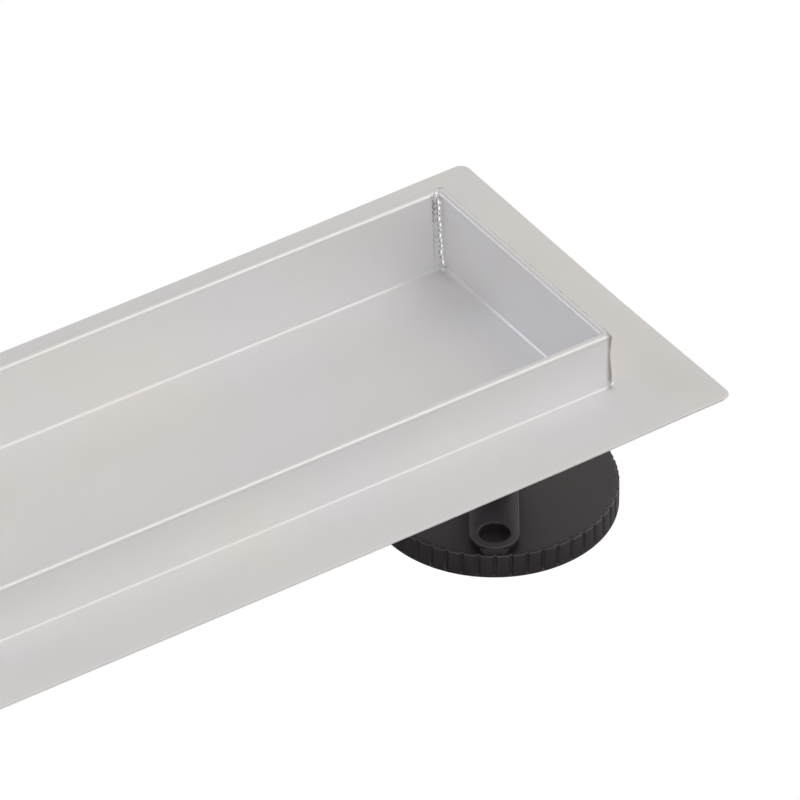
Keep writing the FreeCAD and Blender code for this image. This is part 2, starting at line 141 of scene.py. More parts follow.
world = bpy.data.worlds.new("studio")
world.use_nodes = True
world.node_tree.nodes.clear()
direction = add_node(world, "ShaderNodeTexCoord")
apart = add_node(world, "ShaderNodeSeparateXYZ", links={"Vector": direction.outputs["Generated"]})
side_light = add_node(world, "ShaderNodeMapRange", {"From Min": -0.9, "From Max": 0.9}, {"Value": apart.outputs["X"]})
studio_tint = add_node(world, "ShaderNodeMix", {"data_type": "RGBA"}, {"Factor": side_light.outputs[0]})
studio_tint.inputs[6].default_value = linear(DARK_SIDE)
studio_tint.inputs[7].default_value = linear(LIT_SIDE)
studio_light = add_node(world, "ShaderNodeBackground", {"Strength": 1.0}, {"Color": studio_tint.outputs[2]})
add_node(world, "ShaderNodeOutputWorld", links={"Surface": studio_light.outputs[0]})
bpy.context.scene.world = world


def soft_box(name, place, aim, size, watts, colour):
    """Square area light that the camera doesn't see."""
    light = bpy.data.lights.new(name, "AREA")
    light.shape = "SQUARE"
    light.size = size
    light.energy = watts
    light.color = linear(colour)[:3]
    lamp = bpy.data.objects.new(name, light)
    lamp.location = place
    lamp.rotation_euler = (Vector(aim) - Vector(place)).to_track_quat("-Z", "Y").to_euler()
    lamp.visible_camera = False
    bpy.context.scene.collection.objects.link(lamp)


soft_box("key_box", (1.6, -1.6, 2.6), (0.25, 0, 0.07), 1.1, 6.5, "fffbf9")
soft_box("front_box", (0.45, -2.4, 1.45), (0.35, 0, 0.06), 0.35, 1.1, "ffffff")
soft_box("left_box", (-1.2, -1.9, 1.75), (0.25, 0, 0.06), 0.9, 5.7, "ffffff")
soft_box("rear_box", (-1.8, 1.8, 1.8), (0.25, 0, 0.07), 0.8, 8.4, "f2f2ff")

# Channel.
# One sheet of satin stainless steel, 1.5 mm thick, cut, folded and welded: tile flange, upstand with its rim folded
# back on itself, and trough with the waste's hole. The welds have pulled the flange up a little at its end, and the
# outside corners are ground by hand, so their rounding wanders.
SHEET = 0.0015
SIDE_FLANGE = 0.027
END_FLANGE = 0.0273
UPSTAND_HEIGHT = 0.020
RIM_WIDTH = 0.0032
TROUGH_DEPTH = 0.0306
FLANGE_BEND = 0.001
FLOOR_BEND = 0.0015
OUTER_CORNER = 0.0009
FLANGE_CORNER = 0.0032
EDGE_ROLL = 0.0006
INNER_CORNER = 0.0003
CORNER_STEPS = 6
END_WALL_LEAN = 0.0020
END_BEND_WIDER = 1.5
GROUND_CORNER = [(0.0028, 0.0005), (0.0055, 0.0008), (0.009, 0.0017), (0.012, 0.0023), (0.015, 0.0016), (0.018, 0.0011)]
CROSS_CUTS = (-0.0715, -0.068, -0.064, -0.06, -0.045, -0.03, -0.015, 0,
              0.015, 0.03, 0.045, 0.06, 0.064, 0.068, 0.0715)
CUTS_FROM_END = (0.0035, 0.0065, 0.011, 0.02, 0.035, 0.05, 0.065, 0.08, 0.11, 0.14, 0.18)
LIFT_REACH = 0.16
CORNER_LIFT = 0.0011
CURL_REACH = 0.07
FAR_CORNER_SHARE = 0.35
EDGE_LIFT = 0.0006
# Painted shadow line along the outer edge of the end rims: its distance in from the wall and its half width.
SHADOW_LINE_FROM_WALL = 0.00045
SHADOW_LINE_HALF = 0.0003
WASTE_HOLE_RADIUS = 0.033
SCREW_CIRCLE_RADIUS = 0.037
SCREW_HOLE_RADIUS = 0.00275
SCREW_FIRST_ANGLE = 15
PUNCH_REACH = 0.01
channel_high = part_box("channel")[1]
rim_z = channel_high.z
flange_z = rim_z - UPSTAND_HEIGHT
floor_z = rim_z - TROUGH_DEPTH
wall_x = channel_high.x - END_FLANGE
wall_y = channel_high.y - SIDE_FLANGE


def bend(inset, z, radius, start, end, steps):
    """Points of a round bend in the section, as (inset from the flange's edge, height)."""
    points = []
    for i in range(steps + 1):
        angle = math.radians(start + (end - start) * i / steps)
        points.append((inset - radius * math.cos(angle), z + radius * math.sin(angle)))
    return points


def ring_places(inset, z, corner):
    """Places round one rectangle of the folded sheet, with its four corners rounded."""
    outward = SIDE_FLANGE - inset
    half_x = wall_x + (outward * END_FLANGE / SIDE_FLANGE if outward > 0 else outward)
    half_y = wall_y + outward
    if inset > SIDE_FLANGE + RIM_WIDTH - 1e-6:
        half_x += END_WALL_LEAN * (rim_z - RIM_WIDTH / 2 - z) / (TROUGH_DEPTH - RIM_WIDTH / 2)
        half_x -= END_BEND_WIDER * max(inset - SIDE_FLANGE - RIM_WIDTH, 0)
    places = []
    for i, (side_x, side_y) in enumerate([(1, 1), (-1, 1), (-1, -1), (1, -1)]):
        for step in range(CORNER_STEPS + 1):
            angle = math.pi / 2 * (i + step / CORNER_STEPS)
            places.append(Vector((side_x * (half_x - corner) + corner * math.cos(angle),
                                  side_y * (half_y - corner) + corner * math.sin(angle), z)))
    return places


def first_ring(mesh_maker, places):
    """Closed ring of edges through the places."""
    ring = [mesh_maker.verts.new(place) for place in places]
    return [mesh_maker.edges.new(pair) for pair in zip(ring, ring[1:] + ring[:1])]


def next_ring(mesh_maker, edges, places):
    """Extrudes a ring of edges once, and puts the new ring at the places."""
    grown = bmesh.ops.extrude_edge_only(mesh_maker, edges=edges)["geom"]
    vertices = [item for item in grown if isinstance(item, bmesh.types.BMVert)]
    for vertex, place in zip(vertices, places):
        vertex.co = place
    return [item for item in grown if isinstance(item, bmesh.types.BMEdge) and len(item.link_faces) == 1]


def eased(share):
    share = min(max(share, 0), 1)
    return share * share * (3 - 2 * share)


def turned_solid(mesh_maker, profile, count, centre=(0, 0)):
    """Closed solid of rings through (radius, height) points, turned about an upright line."""
    edges = None
    for radius, z in profile + profile[:1]:
        places = [Vector((centre[0] + radius * math.cos(2 * math.pi * i / count),
                          centre[1] + radius * math.sin(2 * math.pi * i / count), z)) for i in range(count)]
        edges = next_ring(mesh_maker, edges, places) if edges else first_ring(mesh_maker, places)
    bmesh.ops.remove_doubles(mesh_maker, verts=mesh_maker.verts, dist=1e-6)
    bmesh.ops.recalc_face_normals(mesh_maker, faces=mesh_maker.faces)


roll = [math.radians(angle) for angle in (0, 22.5, 45, 67.5, 90)]
section = [(EDGE_ROLL * (1 - math.cos(turn)), flange_z - EDGE_ROLL * (1 - math.sin(turn)), 0) for turn in roll]
section += [(inset, flange_z, 0) for inset in (0.004, 0.009, 0.014, 0.019, 0.023)]
section += [(*point, 0) for point in bend(SIDE_FLANGE - FLANGE_BEND, flange_z + FLANGE_BEND, FLANGE_BEND, -90, -180, 5)]
section += [(SIDE_FLANGE, flange_z + rise, ground) for rise, ground in GROUND_CORNER]
rim_fold = bend(SIDE_FLANGE + RIM_WIDTH / 2, rim_z - RIM_WIDTH / 2, RIM_WIDTH / 2, 0, 180, 10)
floor_fold = bend(SIDE_FLANGE + RIM_WIDTH + FLOOR_BEND, floor_z + FLOOR_BEND, FLOOR_BEND, 0, -90, 5)
section += [(*point, 0) for point in rim_fold + floor_fold]
sheet = bmesh.new()
edges = first_ring(sheet, ring_places(0, flange_z - EDGE_ROLL, FLANGE_CORNER))
for inset, z, ground in section[1:]:
    outward = SIDE_FLANGE - inset
    corner = ground or OUTER_CORNER + outward * (FLANGE_CORNER - OUTER_CORNER) / SIDE_FLANGE
    edges = next_ring(sheet, edges, ring_places(inset, z, max(corner, INNER_CORNER)))
bmesh.ops.holes_fill(sheet, edges=edges, sides=0)
# Cuts through the flat faces, so that the sheet can bend where the welds have pulled it.
for cut in CROSS_CUTS:
    flat = sheet.verts[:] + sheet.edges[:] + sheet.faces[:]
    bmesh.ops.bisect_plane(sheet, geom=flat, dist=1e-6, plane_co=(0, cut, 0), plane_no=(0, 1, 0))
for cut in CUTS_FROM_END:
    for side in (-1, 1):
        flat = sheet.verts[:] + sheet.edges[:] + sheet.faces[:]
        bmesh.ops.bisect_plane(sheet, geom=flat, dist=1e-6, plane_co=(side * (channel_high.x - cut), 0, 0),
                               plane_no=(1, 0, 0))
for vertex in sheet.verts:
    outward = max(abs(vertex.co.x) - wall_x, abs(vertex.co.y) - wall_y, 0) / SIDE_FLANGE
    if vertex.co.z < flange_z + 1e-5 and outward > 0.05:
        tip = Vector((channel_high.x, -channel_high.y)) - Vector((abs(vertex.co.x), -abs(vertex.co.y)))
        along = eased(1 - (channel_high.x - abs(vertex.co.x)) / LIFT_REACH)
        front = 1.0 if vertex.co.x * vertex.co.y < 0 else FAR_CORNER_SHARE
        near_tip = eased(1 - tip.length / CURL_REACH)
        vertex.co.z += outward * (EDGE_LIFT * along + CORNER_LIFT * front * near_tip)
bmesh.ops.recalc_face_normals(sheet, faces=sheet.faces)
burnish = sheet.verts.layers.float.new("burnish")
bends = [(flange_z + FLANGE_BEND / 2, FLANGE_BEND / 2), (rim_z, RIM_WIDTH / 2 - 0.0001),
         (floor_z + FLOOR_BEND / 2, FLOOR_BEND / 2)]
for vertex in sheet.verts:
    inside = abs(vertex.co.x) < wall_x + FLANGE_BEND and abs(vertex.co.y) < wall_y + FLANGE_BEND
    vertex[burnish] = float(inside and any(abs(vertex.co.z - z) < reach - 1e-5 for z, reach in bends))

# Cold-rolled stainless with a dull satin finish: soft grey-white, faint warm and cool clouds and a fine tooth, tighter
# highlights where the folding tool has burnished the bends, straw tint on the flange at the welded ends, and a painted
# shadow, a brown-grey line along the outer edge of the end rims where the fold's gap shows dark. The ground outside
# corners are darker. The tooth is drawn at 0.7 mm, coarser than it is.
stainless = new_material("satin_stainless_sheet")
sheet_place = add_node(stainless, "ShaderNodeTexCoord")
sheet_axes = add_node(stainless, "ShaderNodeSeparateXYZ", links={"Vector": sheet_place.outputs["Object"]})
clouds = add_node(stainless, "ShaderNodeTexNoise", {"Scale": 1 / 0.050, "Detail": 2.0},
                  {"Vector": sheet_place.outputs["Object"]})
tooth = add_node(stainless, "ShaderNodeTexNoise", {"Scale": 1 / 0.0007, "Detail": 2.0},
                 {"Vector": sheet_place.outputs["Object"]})
cloud_share = add_node(stainless, "ShaderNodeMapRange", {"From Min": 0.3, "From Max": 0.7},
                       {"Value": clouds.outputs[0]})
sheet_tint = add_node(stainless, "ShaderNodeMix", {"data_type": "RGBA"}, {"Factor": cloud_share.outputs[0]})
sheet_tint.inputs[6].default_value = linear("fdfdfe")
sheet_tint.inputs[7].default_value = linear("fffefc")
from_middle = add_node(stainless, "ShaderNodeMath", {"operation": "ABSOLUTE"}, {0: sheet_axes.outputs["X"]})
end_share = add_node(stainless, "ShaderNodeMapRange", {"From Min": wall_x - 0.005, "From Max": wall_x + 0.015},
                     {"Value": from_middle.outputs[0]})
flange_share = add_node(stainless, "ShaderNodeMath", {"operation": "COMPARE", 1: flange_z, 2: 0.0035},
                        {0: sheet_axes.outputs["Z"]})
straw_share = add_node(stainless, "ShaderNodeMath", {"operation": "MULTIPLY"},
                       {0: end_share.outputs[0], 1: flange_share.outputs[0]})
straw_tint = add_node(stainless, "ShaderNodeMix", {"data_type": "RGBA"},
                      {"Factor": straw_share.outputs[0], 6: sheet_tint.outputs[2]})
straw_tint.inputs[7].default_value = linear("fefdfb")
wander = add_node(stainless, "ShaderNodeTexNoise", {"Scale": 1 / 0.006}, {"Vector": sheet_place.outputs["Object"]})
# A painted shadow line, brown-grey, along the outer edge of each end rim where the fold's gap shows dark; it wanders a
# little and is fainter towards the rear.
line_shift = add_node(stainless, "ShaderNodeMapRange", {"To Min": -0.0004, "To Max": 0.0004},
                      {"Value": wander.outputs[0]})
line_x = add_node(stainless, "ShaderNodeMath", {"operation": "ADD"},
                  {0: from_middle.outputs[0], 1: line_shift.outputs[0]})
shadow_line_x = wall_x - SHADOW_LINE_FROM_WALL
on_shadow_line = add_node(stainless, "ShaderNodeMath", {"operation": "COMPARE", 1: shadow_line_x, 2: SHADOW_LINE_HALF},
                   {0: line_x.outputs[0]})
on_rim = add_node(stainless, "ShaderNodeMath", {"operation": "COMPARE", 1: rim_z, 2: 0.0012},
                  {0: sheet_axes.outputs["Z"]})
shadow_line_strength = add_node(stainless, "ShaderNodeMapRange", {
    "From Min": wall_y, "From Max": -wall_y, "To Min": 0.35, "To Max": 1.0}, {"Value": sheet_axes.outputs["Y"]})
shadow_line_there = add_node(stainless, "ShaderNodeMath", {"operation": "MULTIPLY"},
                      {0: on_shadow_line.outputs[0], 1: on_rim.outputs[0]})
shadow_line_share = add_node(stainless, "ShaderNodeMath", {"operation": "MULTIPLY"},
                      {0: shadow_line_there.outputs[0], 1: shadow_line_strength.outputs[0]})
# The painted shadow line's brown-grey is laid over the sheet here.
sheet_colour = add_node(stainless, "ShaderNodeMix", {"data_type": "RGBA"},
                        {"Factor": shadow_line_share.outputs[0], 6: straw_tint.outputs[2]})
sheet_colour.inputs[7].default_value = linear("8d7a66")
from_axis = add_node(stainless, "ShaderNodeMath", {"operation": "ABSOLUTE"}, {0: sheet_axes.outputs["Y"]})
quarter_place = add_node(stainless, "ShaderNodeCombineXYZ",
                         links={"X": from_middle.outputs[0], "Y": from_axis.outputs[0]})
from_corner = add_node(stainless, "ShaderNodeVectorMath", {
    "operation": "DISTANCE", 1: (wall_x + 0.0002, wall_y - 0.0003, 0)}, {0: quarter_place.outputs[0]})
corner_wander = add_node(stainless, "ShaderNodeMath", {"operation": "MULTIPLY_ADD", 1: 0.0016, 2: -0.0008},
                         {0: wander.outputs[0]})
corner_reach = add_node(stainless, "ShaderNodeMath", {"operation": "ADD"},
                        {0: from_corner.outputs["Value"], 1: corner_wander.outputs[0]})
ground_share = add_node(stainless, "ShaderNodeMapRange", {"From Min": 0.0026, "From Max": 0.0013, "To Max": 0.85},
                        {"Value": corner_reach.outputs[0]})
above_flange = add_node(stainless, "ShaderNodeMath", {"operation": "GREATER_THAN", 1: flange_z + 0.002},
                        {0: sheet_axes.outputs["Z"]})
ground_there = add_node(stainless, "ShaderNodeMath", {"operation": "MULTIPLY"},
                        {0: ground_share.outputs[0], 1: above_flange.outputs[0]})
ground_colour = add_node(stainless, "ShaderNodeMix", {"data_type": "RGBA"},
                         {"Factor": ground_there.outputs[0], 6: sheet_colour.outputs[2]})
ground_colour.inputs[7].default_value = linear("b0aaa5")
burnished = add_node(stainless, "ShaderNodeAttribute", {"attribute_name": "burnish"})
bend_rough = add_node(stainless, "ShaderNodeMapRange", {"To Min": 0.70, "To Max": 0.47},
                      {"Value": burnished.outputs["Fac"]})
cloud_rough = add_node(stainless, "ShaderNodeMapRange", {"To Min": -0.05, "To Max": 0.05}, {"Value": clouds.outputs[0]})
sheet_rough = add_node(stainless, "ShaderNodeMath", {"operation": "ADD"},
                       {0: bend_rough.outputs[0], 1: cloud_rough.outputs[0]})
sheet_bump = add_node(stainless, "ShaderNodeBump", {"Strength": 0.06, "Distance": 0.0001}, {"Height": tooth.outputs[0]})
stainless_shader = add_node(stainless, "ShaderNodeBsdfPrincipled", {"Metallic": 1.0}, {
    "Base Color": ground_colour.outputs[2], "Roughness": sheet_rough.outputs[0], "Normal": sheet_bump.outputs[0]})
add_node(stainless, "ShaderNodeOutputMaterial", links={"Surface": stainless_shader.outputs[0]})
channel = place_object("channel_sheet", sheet, stainless)
thick = channel.modifiers.new("sheet_thickness", "SOLIDIFY")
thick.thickness = SHEET
thick.offset = -1
thick.use_even_offset = True
punch = bmesh.new()
turned_solid(punch, [(0, floor_z - PUNCH_REACH), (WASTE_HOLE_RADIUS, floor_z - PUNCH_REACH),
                     (WASTE_HOLE_RADIUS, floor_z + PUNCH_REACH), (0, floor_z + PUNCH_REACH)], 96)
for i in range(6):
    angle = math.radians(SCREW_FIRST_ANGLE + 60 * i)
    one = bmesh.ops.create_cone(punch, cap_ends=True, segments=24, radius1=SCREW_HOLE_RADIUS, radius2=SCREW_HOLE_RADIUS,
                                depth=2 * PUNCH_REACH)
    bmesh.ops.translate(punch, verts=one["verts"], vec=(SCREW_CIRCLE_RADIUS * math.cos(angle),
                                                        SCREW_CIRCLE_RADIUS * math.sin(angle), floor_z))
bmesh.ops.recalc_face_normals(punch, faces=punch.faces)
punch_tool = place_object("waste_punch", punch, stainless)
punched = channel.modifiers.new("waste_holes", "BOOLEAN")
punched.object = punch_tool
punched.operation = "DIFFERENCE"
punched.solver = "EXACT"
bpy.context.view_layer.update()
channel.data = bpy.data.meshes.new_from_object(channel.evaluated_get(bpy.context.evaluated_depsgraph_get()))
channel.modifiers.clear()
channel.data.shade_smooth()
channel.data.set_sharp_from_angle(angle=math.radians(35))
bpy.data.objects.remove(punch_tool)
flat_faces = channel.modifiers.new("flat_faces", "WEIGHTED_NORMAL")
flat_faces.keep_sharp = True
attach(channel, "drain")
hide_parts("channel")

# Corner welds.
# A rippled bead of weld runs down each inside corner of the trough, pool after pool from the rim to the floor, with a
# blob at its foot, more of them on top at the rear, and a line of undercut beside it. Each ground corner outside keeps
# a drop of weld at its foot.
BEAD_RADIUS = 0.0014
BEAD_POOLS = 13
POOL_SHAPE = [(0, 0.45), (0.06, 0.62), (0.3, 0.9), (0.6, 1.22), (0.86, 1.47), (0.94, 1.45)]
BEAD_SIDES = 20
BLOBS = [(-0.0016, 0.0004, 0.0000, 0.00105), (-0.0006, -0.0014, -0.0002, 0.00100), (0.0000, -0.0002, -0.0022, 0.00130)]
FLOOR_BLOB = 0.0012
FLOOR_BLOB_IN = 0.0009
FOOT_DROP = 0.0012
UNDERCUT_AWAY = 0.0021
UNDERCUT_SLANT = 0.0007
UNDERCUT_WANDER = 0.00022
UNDERCUT_BELOW_RIM = 0.0025
UNDERCUT_LENGTH = 0.0235
UNDERCUT_SPOTS = 22
SPOT_RADIUS = 0.00062


def weld_blob(mesh_maker, place, radius, flatness=0.8):
    blob = bmesh.ops.create_uvsphere(mesh_maker, u_segments=20, v_segments=14, radius=radius)["verts"]
    bmesh.ops.scale(mesh_maker, vec=(1, 1, flatness), verts=blob)
    bmesh.ops.translate(mesh_maker, vec=place, verts=blob)


weld_top = rim_z - RIM_WIDTH / 2
trough_x = wall_x - RIM_WIDTH
trough_y = wall_y - RIM_WIDTH
beads = bmesh.new()
undercut = bmesh.new()
for number, (side_x, side_y) in enumerate([(1, 1), (-1, 1), (-1, -1), (1, -1)]):
    inward = Vector((-side_x, -side_y, 0)).normalized()
    across = Vector((-inward.y, inward.x, 0))
    edges = None
    for step in range(BEAD_POOLS * len(POOL_SHAPE)):
        pool, phase = divmod(step, len(POOL_SHAPE))
        down, swell = POOL_SHAPE[phase]
        share = (pool + down) / BEAD_POOLS
        middle = Vector((side_x * (trough_x + END_WALL_LEAN * share), side_y * trough_y,
                         weld_top + share * (floor_z - weld_top)))
        middle += across * 0.00015 * math.sin(1.9 * pool + 2 * number)
        radius = BEAD_RADIUS * swell * (1 + 0.06 * math.sin(2.3 * pool + number))
        places = []
        for i in range(BEAD_SIDES):
            angle = 2 * math.pi * i / BEAD_SIDES
            arc = Vector((0, 0, -0.0005 * math.cos(angle)))
            places.append(middle + inward * radius * math.cos(angle) + across * radius * 0.9 * math.sin(angle) + arc)
        edges = next_ring(beads, edges, places) if edges else first_ring(beads, places)
    for x, y, z, radius in BLOBS if side_y > 0 else []:
        weld_blob(beads, (side_x * (trough_x + x), side_y * (trough_y - y), rim_z + z - 0.0006), radius)
    weld_blob(beads, (side_x * (trough_x + END_WALL_LEAN - FLOOR_BLOB_IN), side_y * (trough_y - FLOOR_BLOB_IN),
                      floor_z + 0.0006), FLOOR_BLOB)
    weld_blob(beads, (side_x * (wall_x - 0.0007), side_y * (wall_y + 0.0003), flange_z + 0.0010), FOOT_DROP)
    for step in range(UNDERCUT_SPOTS):
        share = step / (UNDERCUT_SPOTS - 1)
        width = 0.00028 if share < 0.35 else 0.00016
        wander_x = UNDERCUT_WANDER * math.sin(2.6 * step + number)
        place = Vector((side_x * (trough_x - UNDERCUT_AWAY + UNDERCUT_SLANT * share + wander_x), side_y * trough_y,
                        rim_z - UNDERCUT_BELOW_RIM - UNDERCUT_LENGTH * share))
        spot = bmesh.ops.create_uvsphere(undercut, u_segments=8, v_segments=6, radius=SPOT_RADIUS)["verts"]
        bmesh.ops.scale(undercut, vec=(width / SPOT_RADIUS, 0.12, 1.15), verts=spot)
        bmesh.ops.translate(undercut, vec=place, verts=spot)
bmesh.ops.holes_fill(beads, edges=[edge for edge in beads.edges if len(edge.link_faces) == 1], sides=0)
bmesh.ops.recalc_face_normals(beads, faces=beads.faces)

# Bright weld metal, as it froze: smooth and hard in its highlights, with pale specks about 1.1 mm apart.
weld_metal = new_material("welded_stainless_bead")
weld_spots = add_node(weld_metal, "ShaderNodeTexCoord")
weld_noise = add_node(weld_metal, "ShaderNodeTexNoise", {"Scale": 900.0, "Detail": 2.0},
                      {"Vector": weld_spots.outputs["Object"]})
weld_tint = add_node(weld_metal, "ShaderNodeMix", {"data_type": "RGBA"}, {"Factor": weld_noise.outputs[0]})
weld_tint.inputs[6].default_value = linear("efedee")
weld_tint.inputs[7].default_value = linear("ffffff")
weld_shader = add_node(weld_metal, "ShaderNodeBsdfPrincipled", {"Metallic": 1.0, "Roughness": 0.27},
                       {"Base Color": weld_tint.outputs[2]})
add_node(weld_metal, "ShaderNodeOutputMaterial", links={"Surface": weld_shader.outputs[0]})
weld_beads = place_object("corner_weld_beads", beads, weld_metal, 60)
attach(weld_beads, "drain")

# Steel beside the weld: dull, pale grey below and heated to brown in patches under the rim.
undercut_metal = new_material("heat_tinted_stainless")
undercut_spots = add_node(undercut_metal, "ShaderNodeTexCoord")
undercut_height = add_node(undercut_metal, "ShaderNodeSeparateXYZ", links={"Vector": undercut_spots.outputs["Object"]})
undercut_heat = add_node(undercut_metal, "ShaderNodeMapRange", {"From Min": rim_z - 0.013, "From Max": rim_z - 0.006},
                         {"Value": undercut_height.outputs["Z"]})
undercut_noise = add_node(undercut_metal, "ShaderNodeTexNoise", {"Scale": 600.0, "Detail": 2.0},
                          {"Vector": undercut_spots.outputs["Object"]})
undercut_share = add_node(undercut_metal, "ShaderNodeMath", {"operation": "MULTIPLY"},
                          {0: undercut_heat.outputs[0], 1: undercut_noise.outputs[0]})
undercut_tint = add_node(undercut_metal, "ShaderNodeMix", {"data_type": "RGBA"}, {"Factor": undercut_share.outputs[0]})
undercut_tint.inputs[6].default_value = linear("d9d6d4")
undercut_tint.inputs[7].default_value = linear("a3917f")
undercut_shader = add_node(undercut_metal, "ShaderNodeBsdfPrincipled", {"Metallic": 1.0, "Roughness": 0.6},
                           {"Base Color": undercut_tint.outputs[2]})
add_node(undercut_metal, "ShaderNodeOutputMaterial", links={"Surface": undercut_shader.outputs[0]})
undercut_line = place_object("corner_weld_undercut", undercut, undercut_metal, 60)
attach(undercut_line, "drain")

# Feet.
# Each foot is moulded in black polypropylene: a lobed disc to turn by hand, a hub for the stud, and two lugs for floor
# screws, hollow below between its ribs. Its moulded edges are a little rounded, and it is dusty from the packing.
FOOT_RADIUS = 0.0405
FOOT_HEIGHT = 0.0087
FOOT_LOBES = 48
GROOVE_DEPTH = 0.0008
PLAIN_EDGE = 0.0007
GROOVE_WIDTH = 0.0020
EDGE_ROUNDING = 0.00035
HUB_RADIUS = 0.0085
HUB_TOP = 0.032
BORE_RADIUS = 0.0053
BUSH_RADIUS = 0.0065
BUSH_DEPTH = 0.015
RIM_INSIDE = 0.0365
HUB_WALL_OUTSIDE = 0.0125
SKIN_UNDER = 0.0057
LUG_TOP = 0.012
LUG_HALF = 0.008
LUG_PLATE = 0.0012
LUG_BOSS_RADIUS = 0.0063
LUG_HOLE_RADIUS = 0.0051
LUG_DISTANCE = 0.032
LUG_START = 0.0066
WEB_TOP_HALF = 0.0048
WEB_FOOT_HALF = 0.0030
WEB_END = 0.0396
RIBS = 12
RIB_HALF = 0.0009
FOOT_TURNS = {"right": 236.1, "left": 304.0}


def lobed_places(rounding, z):
    """Places round the foot's rim: a crown and a narrow round groove for each lobe, inset by the rounding."""
    pitch = 2 * math.pi / FOOT_LOBES
    half = GROOVE_WIDTH / 2 / FOOT_RADIUS
    soft = 0.25 * half
    steps = [(-half - soft, 0), (-half + soft, 0.16), (-0.45 * half, 0.75), (0, 1), (0.45 * half, 0.75),
             (half - soft, 0.16), (half + soft, 0), (pitch / 2, 0.18)]
    places = []
    for lobe in range(FOOT_LOBES):
        for turn, depth in steps:
            radius = FOOT_RADIUS - rounding - (GROOVE_DEPTH * depth if z > PLAIN_EDGE else 0)
            places.append(Vector((radius * math.cos(lobe * pitch + turn), radius * math.sin(lobe * pitch + turn), z)))
    return places


def lug_places(grown, z, hole=False):
    """Places round the lug's outline, a bar with a round end, or round its screw hole."""
    places = []
    for i in range(48):
        angle = 2 * math.pi * (i + 0.5) / 48
        x, y = math.cos(angle), math.sin(angle)
        if hole:
            places.append(Vector((LUG_DISTANCE + (LUG_HOLE_RADIUS + grown) * x, (LUG_HOLE_RADIUS + grown) * y, z)))
        elif x > 0:
            places.append(Vector((LUG_DISTANCE + (LUG_HALF + grown) * x, (LUG_HALF + grown) * y, z)))
        else:
            places.append(Vector((LUG_DISTANCE + x * (LUG_DISTANCE - LUG_START), (LUG_HALF + grown) * math.copysign(
                min(1, abs(y) * 6), y), z)))
    return places


def rings(mesh_maker, ring_list):
    """Skin through a list of rings, each a list of the same number of places."""
    edges = first_ring(mesh_maker, ring_list[0])
    for places in ring_list[1:]:
        edges = next_ring(mesh_maker, edges, places)
    return edges


def foot_disc():
    disc = bmesh.new()
    angles = [math.atan2(place.y, place.x) for place in lobed_places(0, 0)]

    def circle(radius, z):
        return [Vector((radius * math.cos(angle), radius * math.sin(angle), z)) for angle in angles]

    r = EDGE_ROUNDING
    rings(disc, [circle(RIM_INSIDE, SKIN_UNDER), circle(RIM_INSIDE, 0), lobed_places(r, 0), lobed_places(0, r),
                 lobed_places(0, PLAIN_EDGE), lobed_places(0, PLAIN_EDGE + 0.0006),
                 lobed_places(0, FOOT_HEIGHT - r), lobed_places(0.3 * r, FOOT_HEIGHT - 0.3 * r),
                 lobed_places(r, FOOT_HEIGHT), circle(FOOT_RADIUS - 0.0022, FOOT_HEIGHT),
                 circle(0.030, FOOT_HEIGHT), circle(0.020, FOOT_HEIGHT),
                 circle(HUB_RADIUS + 0.0005, FOOT_HEIGHT), circle(HUB_RADIUS, FOOT_HEIGHT + 0.0005),
                 circle(HUB_RADIUS, HUB_TOP - 0.0004), circle(HUB_RADIUS - 0.0004, HUB_TOP),
                 circle(BUSH_RADIUS, HUB_TOP), circle(BUSH_RADIUS, HUB_TOP - BUSH_DEPTH),
                 circle(BORE_RADIUS, HUB_TOP - BUSH_DEPTH),
                 circle(BORE_RADIUS, 0), circle(HUB_WALL_OUTSIDE, 0), circle(HUB_WALL_OUTSIDE, SKIN_UNDER),
                 circle(RIM_INSIDE, SKIN_UNDER)])
    bmesh.ops.remove_doubles(disc, verts=disc.verts, dist=1e-6)
    bmesh.ops.recalc_face_normals(disc, faces=disc.faces)
    return disc


def foot_lug():
    """The lug along +X: bar and plate with a screw hole, the boss under the plate, and the tapered web."""
    lug = bmesh.new()
    r = EDGE_ROUNDING
    plate_low = LUG_TOP - LUG_PLATE
    rings(lug, [lug_places(0, plate_low, True), lug_places(0, LUG_TOP - r, True), lug_places(r, LUG_TOP, True),
                lug_places(-r, LUG_TOP), lug_places(-0.3 * r, LUG_TOP - 0.3 * r), lug_places(0, LUG_TOP - r),
                lug_places(0, plate_low), lug_places(0, plate_low, True)])
    turned_solid(lug, [(LUG_HOLE_RADIUS, 0), (LUG_HALF, 0), (LUG_HALF, SKIN_UNDER + 0.0005),
                       (LUG_BOSS_RADIUS, SKIN_UNDER + 0.0005), (LUG_BOSS_RADIUS, plate_low + 0.0002),
                       (LUG_HOLE_RADIUS, plate_low + 0.0002)], 48, (LUG_DISTANCE, 0))
    bar = bmesh.ops.create_cube(lug, size=1)["verts"]
    bar_length = LUG_DISTANCE - LUG_HALF - LUG_START
    bmesh.ops.scale(lug, vec=(bar_length, 2 * LUG_HALF, LUG_TOP - FOOT_HEIGHT + 0.0009), verts=bar)
    bmesh.ops.translate(lug, vec=((LUG_DISTANCE - LUG_HALF - 0.001 + LUG_START) / 2, 0,
                                  (LUG_TOP + FOOT_HEIGHT - 0.0021) / 2), verts=bar)
    web = bmesh.ops.create_cube(lug, size=1)["verts"]
    for vertex in web:
        half, z = (WEB_TOP_HALF, plate_low + 0.0004) if vertex.co.z > 0 else (WEB_FOOT_HALF, FOOT_HEIGHT - 0.0004)
        vertex.co = Vector((WEB_END if vertex.co.x > 0 else LUG_DISTANCE + LUG_HOLE_RADIUS + 0.0003,
                            math.copysign(half, vertex.co.y), z))
    bmesh.ops.remove_doubles(lug, verts=lug.verts, dist=1e-6)
    bmesh.ops.recalc_face_normals(lug, faces=lug.faces)
    return lug
